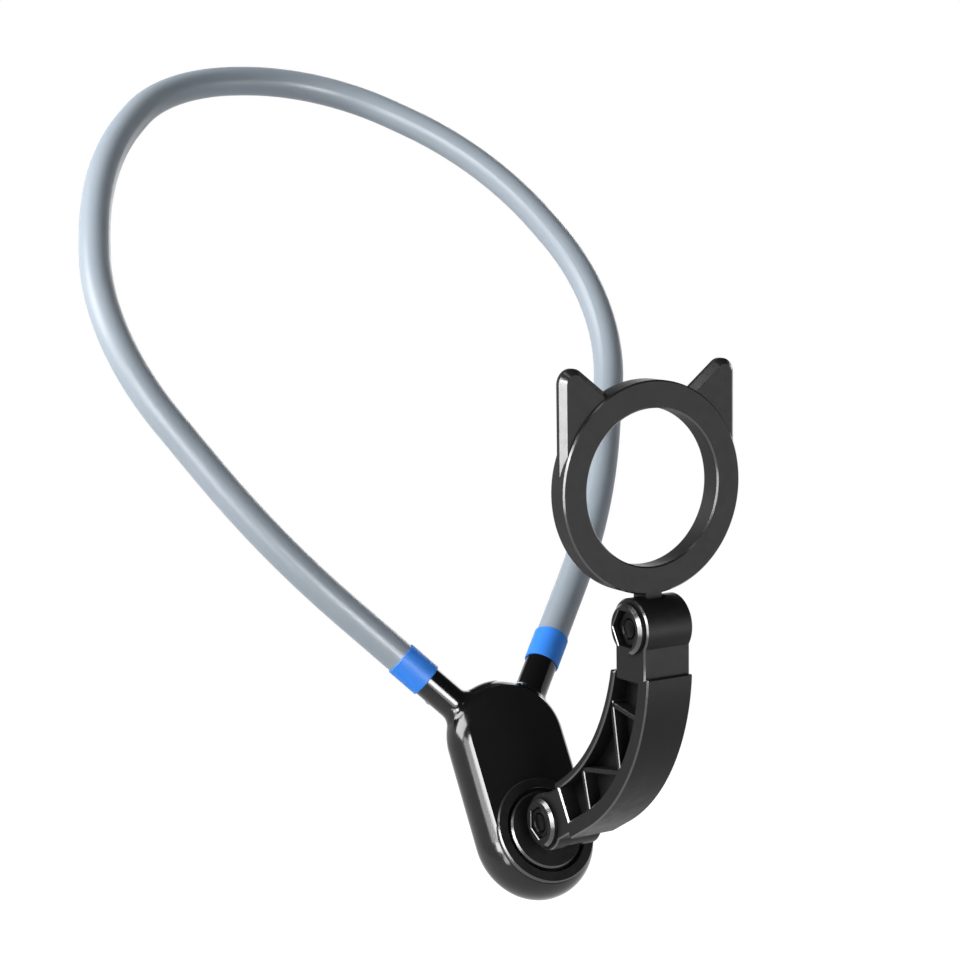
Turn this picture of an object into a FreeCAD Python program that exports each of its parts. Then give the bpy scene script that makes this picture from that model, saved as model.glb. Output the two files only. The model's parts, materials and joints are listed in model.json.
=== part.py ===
import FreeCAD, Part

import math
import os
import re

import Sketcher
from FreeCAD import Placement, Rotation, Vector

# Neck-worn phone holder: a bendable loop, a pendant with a swivel, a curved arm and a magnetic ring head.
# The origin is where the loop rests on the nape, on the inner side of the tube. +Z is up, -Y is forward.
# Driving dimensions are in millimetres and degrees.
SIZES = {
    # Neck loop: corners of its centre line, measured from the swivel's centre in the pendant's own plane
    "tube_dia": 9.5,
    "core_dia": 5.0,
    "core_play": 0.05,
    "core_insert": 15.0,
    "leg_run": 59.2,
    "shoulder_x": 91.4,
    "shoulder_up": 169.3,
    "shoulder_back": 12.7,
    "side_x": 71.1,
    "side_up": 233.9,
    "side_back": 27.9,
    "nape_x": 28.4,
    "nape_up": 276.9,
    "nape_back": 48.8,
    "bend_share": 0.48,
    "ferrule_wall": 0.4,
    "ferrule_len": 10.0,
    "ferrule_play": 0.05,
    "spigot_wall": 1.25,
    "spigot_len": 4.5,
    # Pendant: a rounded slab with two stubs, made of a housing and a rear cover set into it
    "pendant_tilt": 30.0,
    "body_radius": 18.2,
    "body_length": 29.0,
    "body_thick": 13.4,
    "cover_thick": 3.2,
    "cover_margin": 3.7,
    "crown_round": 9.0,
    "crown_cut": 2.1,
    "back_round": 6.0,
    "stub_angle": 39.0,
    "stub_length": 13.2,
    "stub_depth": 7.2,
    "stub_round": 4.0,
    "fork_drop": 2.8,
    "front_wall": 2.5,
    "upper_pocket_radius": 7.5,
    # Screws of the pendant
    "cover_screw_dia": 2.0,
    "cover_screw_len": 6.5,
    "cover_head_dia": 3.8,
    "cover_head_high": 1.5,
    "cover_screw_circle": 11.9,
    "cover_screw_spread": 45.0,
    "top_screw_up": 11.0,
    "stub_screw_dia": 2.4,
    "stub_head_dia": 5.2,
    "stub_head_high": 1.7,
    "stub_screw_inset": 4.9,
    "spot_face": 0.6,
    "screw_play": 0.1,
    # Swivel in the pendant's face
    "collar_radius": 15.4,
    "collar_width": 3.1,
    "collar_rise": 1.0,
    "collar_seat": 1.2,
    "collar_bevel": 0.4,
    "seat_play": 0.1,
    "disc_gap": 1.0,
    "disc_rise": 1.3,
    "disc_bevel": 0.5,
    "stem_radius": 6.0,
    "run_gap": 0.05,
    "friction_thick": 0.5,
    "hub_depth": 5.8,
    "hub_wall": 2.8,
    "washer_room": 0.5,
    "wave_thick": 0.4,
    "retainer_thick": 1.0,
    "swivel_screw_dia": 4.0,
    "swivel_screw_len": 6.0,
    "swivel_head_dia": 7.0,
    "swivel_head_high": 2.4,
    # Hinges at both ends of the arm
    "hinge_height": 12.3,
    "lug_thick": 5.0,
    "lug_radius": 6.0,
    "lug_neck": 9.0,
    "slot_play": 0.5,
    "bolt_dia": 5.0,
    "bolt_head_dia": 9.2,
    "bolt_head_high": 2.75,
    "bolt_head_sink": 0.25,
    "bolt_socket": 3.0,
    "socket_deep": 1.6,
    "lower_nut_flats": 8.0,
    "lower_nut_sink": 0.3,
    "lower_nut_turn": 30.0,
    "upper_nut_flats": 9.2,
    "upper_nut_sink": 1.4,
    "upper_nut_turn": 0.0,
    "nut_high": 3.2,
    "nut_play": 0.1,
    "washer_thick": 0.5,
    "washer_radius": 5.6,
    # Arm: a curved beam with side channels
    "arm_reach": 48.5,
    "arm_rise": 37.6,
    "arm_bend": 60.0,
    "arm_width": 14.6,
    "arm_depth": 16.0,
    "inner_radius": 55.0,
    "outer_radius": 57.5,
    "web_thick": 4.6,
    "inner_flange": 2.0,
    "outer_flange": 4.5,
    "rib_thick": 1.4,
    "rib_setback": 1.0,
    "rib_outer_low": 2.3,
    "rib_inner_low": 12.9,
    "rib_outer_mid": 23.8,
    "rib_inner_high": 38.5,
    "rib_outer_high": 43.4,
    "edge_bevel": 0.4,
    "neck_inset": 1.5,
    "lower_neck": 10.5,
    "upper_neck": 12.5,
    "end_wall": 1.8,
    "barrel_dia": 16.0,
    "nut_boss_radius": 6.8,
    "nut_boss_rise": 1.7,
    "nut_boss_bevel": 0.8,
    "slot_front": 2.4,
    "slot_floor": 3.6,
    "slot_shoulder": 1.0,
    # Head: a ring with two ears, and the magnets behind it
    "ring_radius": 28.0,
    "ring_band": 7.3,
    "ring_foot": 8.5,
    "head_front": 0.8,
    "shell_back": 5.1,
    "ear_step": 0.8,
    "ear_back": 2.2,
    "ear_inset": 0.4,
    "ear_rise": 0.2,
    "ear_tip_round": 4.0,
    "ear_slope": 38.0,
    "ear_bevel": 1.5,
    "ring_bevel": 0.4,
    "rim_wall": 1.4,
    "bore_wall": 1.4,
    "tray_play": 0.05,
    "shunt_thick": 0.6,
    "magnet_thick": 2.7,
    "magnet_count": 16,
    "magnet_gap": 0.6,
    "magnet_cover_thick": 1.0,
    "pad_thick": 0.6,
    "pad_margin": 0.5,
}

doc = FreeCAD.newDocument("NeckPhoneHolder")
sheet = doc.addObject("Spreadsheet::Sheet", "Sizes")
for row, (name, number) in enumerate(SIZES.items(), start=1):
    sheet.set(f"A{row}", name)
    sheet.set(f"B{row}", str(number))
    sheet.setAlias(f"B{row}", name)
doc.recompute()

nodes = []


def size(name):
    return float(sheet.get(name))


def formula(text):
    """A sheet formula: each size's name in the text gets the sheet's name in front."""
    return re.sub(r"[a-z_]+", lambda word: f"Sizes.{word[0]}" if word[0] in SIZES else word[0], text)


def bind(obj, **formulas):
    for prop, text in formulas.items():
        obj.setExpression(prop, formula(text))
    return obj


def locate(obj, base):
    for letter, text in zip("xyz", base):
        obj.setExpression(f"Placement.Base.{letter}", formula(text))
    return obj


AXIS_TURN = {
    "x": Rotation(Vector(0, 1, 0), 90),
    "y": Rotation(Vector(1, 0, 0), -90),
    "z": Rotation(),
}


def cylinder(name, radius, height, base=("0", "0", "0"), axis="z"):
    obj = doc.addObject("Part::Cylinder", name)
    obj.Placement = Placement(Vector(), AXIS_TURN[axis])
    bind(obj, Radius=radius, Height=height)
    return locate(obj, base)


def cone(name, radius, end_radius, height, base=("0", "0", "0"), axis="z"):
    obj = doc.addObject("Part::Cone", name)
    obj.Placement = Placement(Vector(), AXIS_TURN[axis])
    bind(obj, Radius1=radius, Radius2=end_radius, Height=height)
    return locate(obj, base)


def box(name, length, width, height, base):
    obj = doc.addObject("Part::Box", name)
    bind(obj, Length=length, Width=width, Height=height)
    return locate(obj, base)


def hexagon(name, flats, height, base, turn=0):
    """A hexagonal prism along X; unturned, it has corners at the front and back."""
    obj = doc.addObject("Part::Prism", name)
    obj.Polygon = 6
    obj.Placement = Placement(Vector(), AXIS_TURN["x"] * Rotation(Vector(0, 0, 1), 90 + turn))
    bind(obj, Circumradius=f"({flats}) / 2 / cos(30)", Height=height)
    return locate(obj, base)


def fuse(name, *shapes):
    obj = doc.addObject("Part::MultiFuse", name)
    obj.Shapes = list(shapes)
    return obj


def cut(name, base, *tools):
    obj = doc.addObject("Part::Cut", name)
    obj.Base = base
    obj.Tool = tools[0] if len(tools) == 1 else fuse(f"{name}_tools", *tools)
    return obj


def ring(name, outer, inner, height, base=("0", "0", "0"), axis="z"):
    outside = cylinder(f"{name}_outside", outer, height, base, axis)
    inside = cylinder(f"{name}_inside", inner, height, base, axis)
    return cut(name, outside, inside)


def group(name, solids):
    obj = doc.addObject("Part::Compound", name)
    obj.Links = solids
    return obj


def node(obj, label, place):
    """A finished piece: its label names its file, and its place is in the part's frame."""
    obj.Label = label
    obj.Placement = place
    nodes.append(obj)
    return obj


def new_body(name):
    body = doc.addObject("PartDesign::Body", name)
    planes = {feature.Role: feature for feature in body.Origin.OriginFeatures}
    return body, planes


def sketch(body, planes, name, plane, curves, offset="0"):
    """A sketch of lines and arcs on a plane of the body, joined end to end, with bound radii."""
    obj = body.newObject("Sketcher::SketchObject", name)
    obj.AttachmentSupport = [(planes[plane], "")]
    obj.MapMode = "FlatFace"
    obj.setExpression("AttachmentOffset.Base.z", formula(offset))
    indices = [obj.addGeometry(curve, False) for curve, _ in curves]
    for first in indices:
        second = indices[(first + 1) % len(indices)]
        join_ends(obj, first, second)
    for index, (_, radius) in zip(indices, curves):
        if radius:
            constraint = obj.addConstraint(Sketcher.Constraint("Radius", index, obj.Geometry[index].Radius))
            obj.setExpression(f"Constraints[{constraint}]", formula(radius))
    return obj


def join_ends(obj, first, second):
    if first == second or isinstance(obj.Geometry[first], Part.Circle):
        return
    for here in (1, 2):
        for there in (1, 2):
            apart = obj.getPoint(first, here).distanceToPoint(obj.getPoint(second, there))
            if apart < 1e-6:
                obj.addConstraint(Sketcher.Constraint("Coincident", first, here, second, there))
                return


def line(start, end):
    return Part.LineSegment(Vector(*start, 0), Vector(*end, 0)), None


def arc(centre, radius, start_angle, end_angle, bound=None):
    whole = Part.Circle(Vector(*centre, 0), Vector(0, 0, 1), radius)
    return Part.ArcOfCircle(whole, math.radians(start_angle), math.radians(end_angle)), bound


def circle(centre, radius, bound):
    return Part.Circle(Vector(*centre, 0), Vector(0, 0, 1), radius), bound


def polygon(points):
    return [line(here, there) for here, there in zip(points, points[1:] + points[:1])]


def pad(body, profile, length, symmetric=False, backward=False):
    obj = body.newObject("PartDesign::Pad", f"{profile.Name}_pad")
    obj.Profile = profile
    obj.SideType = "Symmetric" if symmetric else "One side"
    obj.Reversed = backward
    return bind(obj, Length=length)


def pocket(body, profile, length, symmetric=False, backward=False):
    obj = body.newObject("PartDesign::Pocket", f"{profile.Name}_pocket")
    obj.Profile = profile
    obj.SideType = "Symmetric" if symmetric else "One side"
    obj.Reversed = backward
    return bind(obj, Length=length)


def chosen_edges(body, chosen):
    """The edges of the body's last feature that the test chooses."""
    doc.recompute()
    base = body.Tip
    return base, [f"Edge{i}" for i, edge in enumerate(base.Shape.Edges, start=1) if chosen(edge)]


def round_edges(body, name, chosen, radius):
    edges = chosen_edges(body, chosen)
    obj = body.newObject("PartDesign::Fillet", name)
    obj.Base = edges
    return bind(obj, Radius=radius)


def bevel_edges(body, name, chosen, width):
    edges = chosen_edges(body, chosen)
    obj = body.newObject("PartDesign::Chamfer", name)
    obj.Base = edges
    return bind(obj, Size=width)


def points_on(edge, count=5):
    first, last = edge.ParameterRange
    return [edge.valueAt(first + (last - first) * i / (count - 1)) for i in range(count)]


# Frames of the assembly: the pendant leans back, the head stands on the arm's upper end
tilt = math.radians(size("pendant_tilt"))
bend = math.radians(size("arm_bend"))
pendant_turn = 90 - size("pendant_tilt")
up = Vector(0, math.sin(tilt), math.cos(tilt))
outward = Vector(0, -math.cos(tilt), math.sin(tilt))
nape_from_swivel = up * size("nape_up") - outward * size("nape_back")
swivel_point = Vector(0, size("tube_dia") / 2, 0) - nape_from_swivel
upper_leg = outward * math.cos(bend) + up * math.sin(bend)
lower_point = swivel_point + outward * size("hinge_height")
upper_point = lower_point + outward * size("arm_reach") + upper_leg * size("arm_rise")
pendant = Placement(swivel_point, Rotation(Vector(1, 0, 0), pendant_turn))
lower_hinge = Placement(lower_point, Rotation(Vector(1, 0, 0), pendant_turn))
upper_hinge = Placement(upper_point, Rotation(Vector(1, 0, 0), pendant_turn - size("arm_bend")))

# Stubs: they fork below the pendant's upper centre, in the middle of its thickness
SIDES = {"left": -1, "right": 1}
stub_reach = size("body_radius") + size("stub_length")
STUB_REACH = "body_radius + stub_length"


def stub_frame(side):
    """Local Y runs out along the stub, from the fork."""
    fork = Vector(0, size("body_length") - size("fork_drop"), -size("stub_depth"))
    return Placement(fork, Rotation(Vector(0, 0, 1), -side * size("stub_angle")))


def stub_cylinder(name, side, radius, height, start="0"):
    """A cylinder on a stub's axis, in the pendant's frame."""
    along = cylinder(f"{name}_along", radius, height, ("0", start, "0"), axis="y")
    held = group(name, [along])
    held.Placement = stub_frame(side)
    return held


def loop_corners():
    """Corners of the loop's centre line, from the left stub's end round the nape to the right one's."""
    stub_end = stub_frame(1).multVec(Vector(0, stub_reach, 0))
    collarbone = stub_frame(1).multVec(Vector(0, stub_reach + size("leg_run"), 0))
    shoulder = Vector(size("shoulder_x"), size("shoulder_up"), -size("shoulder_back"))
    neck_side = Vector(size("side_x"), size("side_up"), -size("side_back"))
    nape = Vector(size("nape_x"), size("nape_up"), -size("nape_back"))
    right = [stub_end, collarbone, shoulder, neck_side, nape]
    left = [Vector(-point.x, point.y, point.z) for point in right]
    return left + right[::-1]


def rounded_path(name, corners, extra):
    """A wire of straight runs and tangent arcs, each end moved outwards by the extra length."""
    edges = []
    first_run = (corners[0] - corners[1]).normalize()
    last_run = (corners[-1] - corners[-2]).normalize()
    here = corners[0] + first_run * extra
    for before, corner, after in zip(corners, corners[1:], corners[2:]):
        shorter = min((corner - before).Length, (after - corner).Length)
        tangent = size("bend_share") * shorter
        back = (before - corner).normalize()
        onward = (after - corner).normalize()
        half_turn = back.getAngle(onward) / 2
        radius = tangent * math.tan(half_turn)
        middle = corner + (back + onward).normalize() * (radius / math.sin(half_turn) - radius)
        start = corner + back * tangent
        end = corner + onward * tangent
        edges.append(Part.LineSegment(here, start).toShape())
        edges.append(Part.Arc(start, middle, end).toShape())
        here = end
    edges.append(Part.LineSegment(here, corners[-1] + last_run * extra).toShape())
    obj = doc.addObject("Part::Feature", name)
    obj.Shape = Part.Wire(edges)
    return obj


def swept(name, path, radius):
    """A round section carried along a path."""
    first = path.Shape.Edges[0]
    start = first.valueAt(first.FirstParameter)
    heading = first.tangentAt(first.FirstParameter)
    section = bind(doc.addObject("Part::Circle", f"{name}_section"), Radius=radius)
    section.Placement = Placement(start, Rotation(Vector(0, 0, 1), heading))
    obj = doc.addObject("Part::Sweep", name)
    obj.Sections = [section]
    obj.Spine = (path, [f"Edge{i + 1}" for i in range(len(path.Shape.Edges))])
    obj.Solid = True
    return obj


# Neck loop: a soft sleeve over a wire that keeps its bend, with a ring where it meets each stub
corners = loop_corners()
sleeve_path = rounded_path("sleeve_path", corners, -size("spigot_len"))
core_path = rounded_path("core_path", corners, size("core_insert"))
CORE_BORE = "core_dia / 2 + core_play"
SPIGOT = "core_dia / 2 + core_play + spigot_wall"
sleeve_outside = swept("sleeve_outside", sleeve_path, "tube_dia / 2")
sleeve_inside = swept("sleeve_inside", sleeve_path, CORE_BORE)
node(cut("sleeve", sleeve_outside, sleeve_inside), "neck_sleeve", pendant)
node(swept("core", core_path, "core_dia / 2"), "neck_core", pendant)
for label, side in SIDES.items():
    band = ring(
        f"band_{label}", "tube_dia / 2 + ferrule_play + ferrule_wall", "tube_dia / 2 + ferrule_play",
        "ferrule_len", ("0", STUB_REACH, "0"), axis="y",
    )
    lip = ring(f"lip_{label}", "tube_dia / 2 + ferrule_play + ferrule_wall / 2", f"{SPIGOT} + ferrule_play",
               "spigot_len", ("0", STUB_REACH, "0"), axis="y")
    node(fuse(f"ferrule_{label}_solid", band, lip), f"ferrule_{label}", pendant * stub_frame(side))

# Pendant form: a slab with full round sides, crowned past its front face, and two stubs that flow into it
radius = size("body_radius")
length = size("body_length")
form, form_planes = new_body("pendant_form")
slab = sketch(form, form_planes, "slab", "XY_Plane", [
    arc((0, length), radius, 0, 180, "body_radius"),
    line((-radius, length), (-radius, 0)),
    arc((0, 0), radius, 180, 360, "body_radius"),
    line((radius, 0), (radius, length)),
], "crown_cut")
pad(form, slab, "body_thick + crown_cut", backward=True)


def at_height(edge, height):
    return all(abs(point.z - height) < 1e-4 for point in points_on(edge))


round_edges(form, "crown", lambda edge: at_height(edge, size("crown_cut")), "crown_round")
round_edges(form, "rear_round", lambda edge: at_height(edge, -size("body_thick")), "back_round")
for label, side in SIDES.items():
    stub = form.newObject("PartDesign::AdditiveCylinder", f"stub_{label}")
    stub.Placement = stub_frame(side) * Placement(Vector(), AXIS_TURN["y"])
    bind(stub, Radius="tube_dia / 2", Height=STUB_REACH)


def at_stub_root(edge):
    """Edges where a stub's round side meets the slab."""
    for side in SIDES.values():
        local = [stub_frame(side).inverse().multVec(point) for point in points_on(edge)]
        on_stub = all(abs(math.hypot(point.x, point.z) - size("tube_dia") / 2) < 1e-3 for point in local)
        inside = all(point.y < stub_reach - 1e-3 for point in local)
        if on_stub and inside and not isinstance(edge.Curve, Part.Line):
            return True
    return False


round_edges(form, "stub_rounds", at_stub_root, "stub_round")

# Housing: the form cut flat in front, with a room for the cover behind and the swivel's seat, bore and well
SPLIT = "body_thick - cover_thick"
COVER = "body_radius - cover_margin"
SEAT_FLOOR = "-collar_seat"
HUB = "stem_radius + run_gap + hub_wall"


def behind_split(name, radius):
    """A prism from the cover's inner side out past the back, with round ends on the slab's two centres."""
    floor = "-2 * body_thick"
    height = f"2 * body_thick - ({SPLIT})"
    return fuse(
        name,
        cylinder(f"{name}_low", radius, height, ("0", "0", floor)),
        cylinder(f"{name}_high", radius, height, ("0", "body_length", floor)),
        box(f"{name}_middle", f"2 * ({radius})", "body_length", height, (f"-({radius})", "0", floor)),
    )


crown_cap = box("crown_cap", "8 * body_radius", "8 * body_radius", "body_thick",
                ("-4 * body_radius", "-4 * body_radius", "0"))
cover_room = behind_split("cover_room", f"{COVER} + screw_play")
spigots = [
    stub_cylinder(f"spigot_{label}", side, SPIGOT, "spigot_len + stub_length", "body_radius")
    for label, side in SIDES.items()
]
washer_well = cylinder(
    "washer_well", f"{HUB} + washer_room", f"{SPLIT} - hub_depth", ("0", "0", f"-({SPLIT})"))
upper_pocket = cylinder(
    "upper_pocket", "upper_pocket_radius", f"{SPLIT} - collar_seat - front_wall",
    ("0", "body_length", f"-({SPLIT})"),
)
collar_seat = cylinder("collar_seat", "collar_radius + seat_play", "body_thick", ("0", "0", SEAT_FLOOR))
stem_bore = cylinder("stem_bore", "stem_radius + run_gap", "body_thick", ("0", "0", "-body_thick"))
core_bores = [
    stub_cylinder(f"core_bore_{label}", side, CORE_BORE, "2 * stub_length + spigot_len + core_insert",
                  f"{STUB_REACH} - core_insert - core_play")
    for label, side in SIDES.items()
]

# Screw places of the cover, round the swivel and above the upper pocket
SCREW_ACROSS = "cover_screw_circle * sin(cover_screw_spread)"
SCREW_DOWN = "-cover_screw_circle * cos(cover_screw_spread)"
COVER_SCREWS = {
    "top": ("0", "body_length + top_screw_up"),
    "left": (f"-{SCREW_ACROSS}", SCREW_DOWN),
    "right": (SCREW_ACROSS, SCREW_DOWN),
}
COVER_SHANK_HOLE = "cover_screw_dia / 2 + core_play"
HEAD_SEAT = "-body_thick + cover_head_high"
screw_holes = [
    cylinder(f"screw_hole_{label}", COVER_SHANK_HOLE, "cover_screw_len + screw_play", (x, y, HEAD_SEAT))
    for label, (x, y) in COVER_SCREWS.items()
]
STUB_SCREW_AT = f"{STUB_REACH} - stub_screw_inset"
STUB_SEAT = "-tube_dia / 2 + spot_face"


def stub_group(name, side, shapes):
    held = group(name, shapes)
    held.Placement = stub_frame(side)
    return held


stub_screw_cuts = [
    stub_group(f"stub_screw_cut_{label}", side, [
        fuse(
            f"stub_screw_cut_solid_{label}",
            cylinder(f"spot_face_{label}", "stub_head_dia / 2 + screw_play", "tube_dia",
                     ("0", STUB_SCREW_AT, f"{STUB_SEAT} - tube_dia")),
            cylinder(f"pinch_hole_{label}", "stub_screw_dia / 2 + core_play", "tube_dia / 2",
                     ("0", STUB_SCREW_AT, "-tube_dia / 2")),
        )
    ])
    for label, side in SIDES.items()
]
housing = cut(
    "housing", fuse("housing_block", form, *spigots), crown_cap, cover_room,
    washer_well, upper_pocket, collar_seat, stem_bore, *core_bores, *screw_holes, *stub_screw_cuts,
)
node(housing, "yoke_housing", pendant)

# Rear cover: a plate that carries on the form's back, held by three sunk screws
cover_blank = doc.addObject("Part::Common", "cover_blank")
cover_blank.Base = form
cover_blank.Tool = behind_split("cover_block", COVER)
head_wells = [
    cylinder(f"head_well_{label}", "cover_head_dia / 2 + screw_play", "body_thick",
             (x, y, f"{HEAD_SEAT} - body_thick"))
    for label, (x, y) in COVER_SCREWS.items()
]
cover_holes = [
    cylinder(f"cover_hole_{label}", COVER_SHANK_HOLE, "2 * body_thick", (x, y, "-2 * body_thick"))
    for label, (x, y) in COVER_SCREWS.items()
]
node(cut("cover", cover_blank, *head_wells, *cover_holes), "yoke_cover", pendant)
cover_screws = [
    fuse(
        f"cover_screw_{label}",
        cylinder(f"cover_shank_{label}", "cover_screw_dia / 2", "cover_screw_len", (x, y, HEAD_SEAT)),
        cylinder(f"cover_head_{label}", "cover_head_dia / 2", "cover_head_high", (x, y, "-body_thick")),
    )
    for label, (x, y) in COVER_SCREWS.items()
]
node(group("cover_screw_set", cover_screws), "cover_screws", pendant)

# Stub screws: each pinches the wire in its bore from behind
for label, side in SIDES.items():
    screw = fuse(
        f"pinch_screw_{label}",
        cylinder(f"pinch_shank_{label}", "stub_screw_dia / 2", "tube_dia / 2 - spot_face - core_dia / 2",
                 ("0", STUB_SCREW_AT, STUB_SEAT)),
        cylinder(f"pinch_head_{label}", "stub_head_dia / 2", "stub_head_high",
                 ("0", STUB_SCREW_AT, f"{STUB_SEAT} - stub_head_high")),
    )
    node(screw, f"stub_screw_{label}", pendant * stub_frame(side))

# Swivel: a fixed collar, and a disc on a stem that a screw and washers hold from behind
COLLAR_BORE = "collar_radius - collar_width"
collar_block = fuse(
    "collar_block",
    cylinder("collar_side", "collar_radius", "collar_seat + collar_rise - collar_bevel",
             ("0", "0", SEAT_FLOOR)),
    cone("collar_edge", "collar_radius", "collar_radius - collar_bevel", "collar_bevel",
         ("0", "0", "collar_rise - collar_bevel")),
)
collar_bore = cylinder("collar_bore", COLLAR_BORE, "4 * collar_seat", ("0", "0", "-2 * collar_seat"))
node(cut("collar", collar_block, collar_bore), "swivel_collar", pendant)

DISC = "collar_radius - collar_width - disc_gap"
DISC_BASE = "-collar_seat + friction_thick + run_gap"
STEM_END = "-hub_depth - wave_thick - run_gap"
disc_block = fuse(
    "disc_block",
    cylinder("disc_side", DISC, f"disc_rise - disc_bevel - ({DISC_BASE})", ("0", "0", DISC_BASE)),
    cone("disc_edge", DISC, f"{DISC} - disc_bevel", "disc_bevel", ("0", "0", "disc_rise - disc_bevel")),
    cylinder("stem", "stem_radius", f"-({STEM_END})", ("0", "0", STEM_END)),
    cylinder("tongue_end", "lug_radius", "lug_thick", ("-lug_thick / 2", "0", "hinge_height"), axis="x"),
    box("tongue_neck", "lug_thick", "lug_neck", "hinge_height", ("-lug_thick / 2", "-lug_neck / 2", "0")),
)
tongue_hole = cylinder(
    "tongue_hole", "bolt_dia / 2 + run_gap", "2 * lug_thick", ("-lug_thick", "0", "hinge_height"), axis="x")
stem_hole = cylinder(
    "stem_hole", "swivel_screw_dia / 2 + core_play", "swivel_screw_len", ("0", "0", STEM_END))
node(cut("disc", disc_block, tongue_hole, stem_hole), "swivel_disc", pendant)
node(
    ring("friction", f"{DISC} - disc_bevel", "stem_radius + seat_play", "friction_thick",
         ("0", "0", SEAT_FLOOR)),
    "swivel_washer", pendant,
)
node(
    ring("wave", HUB, "stem_radius + seat_play", "wave_thick", ("0", "0", "-hub_depth - wave_thick")),
    "wave_washer", pendant,
)
RETAINER_BACK = f"{STEM_END} - retainer_thick"
node(
    ring("retainer", HUB, "swivel_screw_dia / 2 + core_play", "retainer_thick", ("0", "0", RETAINER_BACK)),
    "retaining_washer", pendant,
)
swivel_screw = fuse(
    "swivel_screw_solid",
    cylinder("swivel_shank", "swivel_screw_dia / 2", "swivel_screw_len", ("0", "0", RETAINER_BACK)),
    cylinder("swivel_head", "swivel_head_dia / 2", "swivel_head_high",
             ("0", "0", f"{RETAINER_BACK} - swivel_head_high")),
)
node(swivel_screw, "swivel_screw", pendant)

# Arm: the beam's long edges are arcs round the inside of the bend. Sketch coordinates run up the pendant
# and out from it; the lower hinge is the origin.
half_tan = math.tan(bend / 2)
half_depth = size("arm_depth") / 2
inner_edge = (half_depth, size("inner_radius"), "inner_radius")
inner_back = (half_depth - size("inner_flange"), size("inner_radius") + size("inner_flange"),
              "inner_radius + inner_flange")
outer_edge = (-half_depth, size("outer_radius"), "outer_radius")
outer_back = (-half_depth + size("outer_flange"), size("outer_radius") - size("outer_flange"),
              "outer_radius - outer_flange")
beam_start = size("lower_neck")
beam_end = size("arm_rise") - size("upper_neck")


def edge_centre(edge):
    reach = edge[0] + edge[1]
    return reach, size("arm_reach") - reach * half_tan


def edge_point(edge, angle):
    """A point on a long edge's arc, at an angle in degrees round the bend from its lower end."""
    across, out = edge_centre(edge)
    turn = math.radians(angle)
    return across - edge[1] * math.cos(turn), out + edge[1] * math.sin(turn)


def leg_point(along, offset):
    """A point of the upper leg: a distance past the corner, and an offset to the inside of the bend."""
    across = along * math.sin(bend) + offset * math.cos(bend)
    out = size("arm_reach") + along * math.cos(bend) - offset * math.sin(bend)
    return across, out


def long_edge(edge):
    """Curves of one long edge from the lower neck to the upper one, with their two end points."""
    offset, radius, bound = edge
    centre = edge_centre(edge)
    low_tangent = centre[1]
    high_tangent = (offset + radius) * half_tan
    low_angle = math.degrees(math.asin(max(0, beam_start - low_tangent) / radius))
    high_angle = size("arm_bend") - math.degrees(math.asin(max(0, high_tangent - beam_end) / radius))
    curves = [arc(centre, radius, 180 - high_angle, 180 - low_angle, bound)]
    start = edge_point(edge, low_angle)
    end = edge_point(edge, high_angle)
    if low_tangent > beam_start:
        curves.append(line((offset, beam_start), start))
        start = (offset, beam_start)
    if beam_end > high_tangent:
        curves.append(line(end, leg_point(beam_end, offset)))
        end = leg_point(beam_end, offset)
    return curves, start, end


def strip(first, second):
    """The closed outline between two long edges."""
    first_curves, first_start, first_end = long_edge(first)
    second_curves, second_start, second_end = long_edge(second)
    return first_curves + [line(first_end, second_end)] + second_curves + [line(second_start, first_start)]


def rib(first, second):
    """A straight rib between two points, run on into the flange at each end."""
    start = Vector(*first, 0)
    end = Vector(*second, 0)
    along = (end - start).normalize()
    across = Vector(-along.y, along.x, 0) * (size("rib_thick") / 2)
    reach = along * (size("inner_flange") / 2)
    quad = [start - reach + across, end + reach + across, end + reach - across, start - reach - across]
    return polygon([(point.x, point.y) for point in quad])


beam, beam_planes = new_body("beam")


def beam_pad(name, curves, width):
    pad(beam, sketch(beam, beam_planes, name, "YZ_Plane", curves), width, symmetric=True)


beam_pad("web", strip(inner_edge, outer_edge), "web_thick")
beam_pad("inner_strip", strip(inner_edge, inner_back), "arm_width")
beam_pad("outer_strip", strip(outer_edge, outer_back), "arm_width")
neck_half = half_depth - size("neck_inset")
neck_top = beam_start + size("end_wall")
lower_block = polygon([(-neck_half, 0), (neck_half, 0), (neck_half, neck_top), (-neck_half, neck_top)])
beam_pad("lower_block", lower_block, "arm_width")
neck_foot = beam_end - size("end_wall")
beam_pad("upper_block", polygon([
    leg_point(neck_foot, -neck_half), leg_point(neck_foot, neck_half),
    leg_point(size("arm_rise"), neck_half), leg_point(size("arm_rise"), -neck_half),
]), "arm_width")
barrel = size("barrel_dia") / 2
beam_pad("lower_barrel", [circle((0, 0), barrel, "barrel_dia / 2")], "arm_width")
beam_pad("upper_barrel", [circle(leg_point(size("arm_rise"), 0), barrel, "barrel_dia / 2")], "arm_width")
zigzag = [
    edge_point(outer_back, size("rib_outer_low")),
    edge_point(inner_back, size("rib_inner_low")),
    edge_point(outer_back, size("rib_outer_mid")),
    edge_point(inner_back, size("rib_inner_high")),
    edge_point(outer_back, size("rib_outer_high")),
]
for number, (first, second) in enumerate(zip(zigzag, zigzag[1:]), start=1):
    beam_pad(f"rib_{number}", rib(first, second), "arm_width - 2 * rib_setback")


def on_side(edge):
    """All edges in the arm's two side faces: the outline, the barrels' rims and the channels' mouths."""
    return all(abs(abs(point.x) - size("arm_width") / 2) < 1e-4 for point in points_on(edge))


bevel_edges(beam, "side_edges", on_side, "edge_bevel")

# Hinge cuts of the arm: slot, bolt hole, sunk head and nut pocket, each set made at a hinge's own centre
SLOT = "lug_thick + 2 * washer_thick + 4 * run_gap"
HEAD_FLOOR = "arm_width / 2 - bolt_head_high - bolt_head_sink"
BOSS_FACE = "-arm_width / 2 - nut_boss_rise"


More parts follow.
